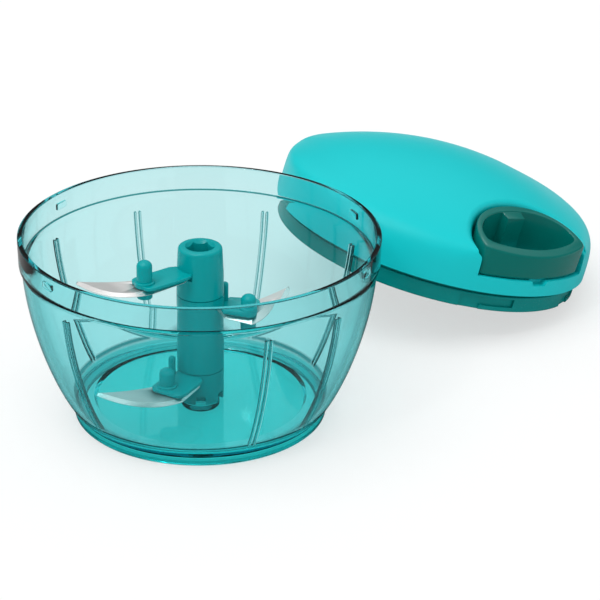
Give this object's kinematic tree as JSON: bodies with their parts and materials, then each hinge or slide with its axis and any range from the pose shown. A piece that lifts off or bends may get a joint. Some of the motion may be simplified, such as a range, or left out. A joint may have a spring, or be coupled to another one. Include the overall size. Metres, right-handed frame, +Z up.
{
  "type": "food chopper",
  "caption": "Hand-pulled food chopper: clear teal bowl with a stacked blade unit on its pivot pin, and beside it a tilted turquoise lid with a dark green cord handle.",
  "frame": {"origin": "centre of the bowl's base, on the plane it stands on", "axes": "+Z up along the bowl's axis, -Y towards the viewer in the picture; the lid lies beside the bowl at +X +Y"},
  "size_m": [0.2094, 0.2233, 0.065],
  "materials": {
    "clear_teal": "transparent, polished",
    "teal": "satin moulded",
    "turquoise": "fine satin",
    "dark_green": "polished",
    "ring_teal": "satin moulded",
    "steel": "brushed, ground edge",
    "white_nylon": "moulded",
    "cord": "woven cord"
  },
  "bodies": {
    "bowl": {"bowl": "clear_teal", "pivot_pin": "steel"},
    "blade_unit": {"column_lower": "teal", "column_middle": "teal", "column_upper": "teal", "blade_lower": "steel", "blade_middle": "steel", "blade_upper": "steel"},
    "lid": {"lid_dome": "turquoise", "lid_base": "ring_teal", "screw_1": "steel", "screw_2": "steel", "screw_3": "steel", "screw_4": "steel", "cord_eyelet": "steel", "cord_run": "cord", "spring_cover": "white_nylon", "recoil_spring": "steel"},
    "handle": {"pull_handle": "dark_green", "cord_end": "cord", "cord_knot": "cord"},
    "drum": {"cord_drum": "white_nylon", "cord_winding": "cord", "drive_shaft": "white_nylon", "shaft_clip": "steel"}
  },
  "joints": [
    {"name": "blade_spin", "type": "hinge", "parent": "bowl", "child": "blade_unit", "pos_m": [0, 0, 0.03], "axis": [0, 0, 1], "continuous": true},
    {"name": "lid_lift", "type": "slide", "parent": "bowl", "child": "lid", "axis": [0, 0, 1], "range_m": [0, 0.12]},
    {"name": "cord_pull", "type": "slide", "parent": "lid", "child": "handle", "axis": [0.5558, -0.826, -0.0934], "range_m": [0, 0.36], "stiffness_N_per_m": 8, "springref_m": -0.1},
    {"name": "drum_turn", "type": "hinge", "parent": "lid", "child": "drum", "pos_m": [0.08822, 0.10177, 0.02253], "axis": [0.2532, 0.0613, 0.9655], "range_deg": [0, 990]}
  ],
  "couplings": [
    {"joint": "drum_turn", "follows": "cord_pull", "rad_per_m": 47.4}
  ]
}
